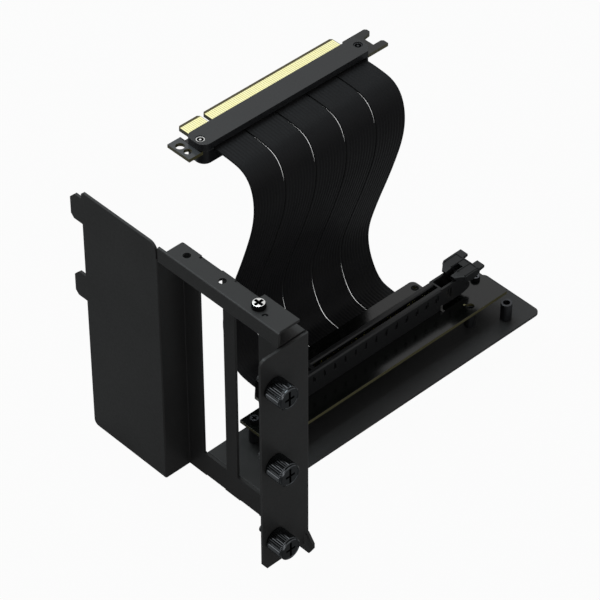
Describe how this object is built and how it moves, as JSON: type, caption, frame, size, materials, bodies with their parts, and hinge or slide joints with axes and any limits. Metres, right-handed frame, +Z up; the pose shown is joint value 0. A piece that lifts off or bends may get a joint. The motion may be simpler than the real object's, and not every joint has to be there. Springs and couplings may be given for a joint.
{
  "type": "vertical graphics card mount",
  "caption": "Folded steel frame and tray that hold a graphics card upright, with a riser board, card slot, latch and flat ribbon cable to an edge plug.",
  "frame": {"origin": "the middle thumbscrew's axis where it crosses the screw flange's seating face", "axes": "+X along the card into the case, +Y towards the main board along the screws' driving direction, +Z up the card openings"},
  "size_m": [0.1862, 0.1314, 0.1391],
  "materials": {
    "powder_coat": "fine textured powder coat",
    "black_zinc": "black zinc plated steel",
    "dark_screw": "blackened steel",
    "nickel_screw": "nickel plated steel",
    "board_laminate": "black solder mask on glass laminate",
    "slot_plastic": "moulded plastic",
    "latch_plastic": "moulded plastic",
    "ribbon_jacket": "ridged flexible jacket",
    "bare_pad": "gold plated copper",
    "cover_plastic": "moulded plastic"
  },
  "bodies": {
    "mount": {"bracket_frame": "powder_coat", "base_tray": "powder_coat", "tray_standoffs": "black_zinc", "board_screws": "dark_screw", "card_screw": "nickel_screw", "riser_board": "board_laminate", "slot_housing": "slot_plastic", "slot_nails": "nickel_screw", "ribbon_strip_1": "ribbon_jacket", "ribbon_strip_2": "ribbon_jacket", "ribbon_strip_3": "ribbon_jacket", "ribbon_strip_4": "ribbon_jacket", "ribbon_strip_5": "ribbon_jacket", "plug_board": "board_laminate", "plug_fingers_top": "bare_pad", "plug_fingers_bottom": "bare_pad", "plug_cover_top": "cover_plastic", "plug_cover_bottom": "cover_plastic", "plug_screw_left": "nickel_screw", "plug_screw_right": "dark_screw"},
    "screw_top": {"thumb_screw_top": "black_zinc"},
    "screw_middle": {"thumb_screw_middle": "black_zinc"},
    "screw_bottom": {"thumb_screw_bottom": "black_zinc"},
    "latch": {"slot_latch": "latch_plastic"}
  },
  "joints": [
    {"name": "screw_top_turn", "type": "hinge", "parent": "mount", "child": "screw_top", "pos_m": [0, 0, 0.04064], "axis": [0, -1, 0], "continuous": true},
    {"name": "screw_middle_turn", "type": "hinge", "parent": "mount", "child": "screw_middle", "pos_m": [0, 0, 0], "axis": [0, -1, 0], "continuous": true},
    {"name": "screw_bottom_turn", "type": "hinge", "parent": "mount", "child": "screw_bottom", "pos_m": [0, 0, -0.04064], "axis": [0, -1, 0], "continuous": true},
    {"name": "latch_open", "type": "hinge", "parent": "mount", "child": "latch", "pos_m": [0.1552, 0.0503, -0.03355], "axis": [0, 1, 0], "range_deg": [0, 25]}
  ]
}
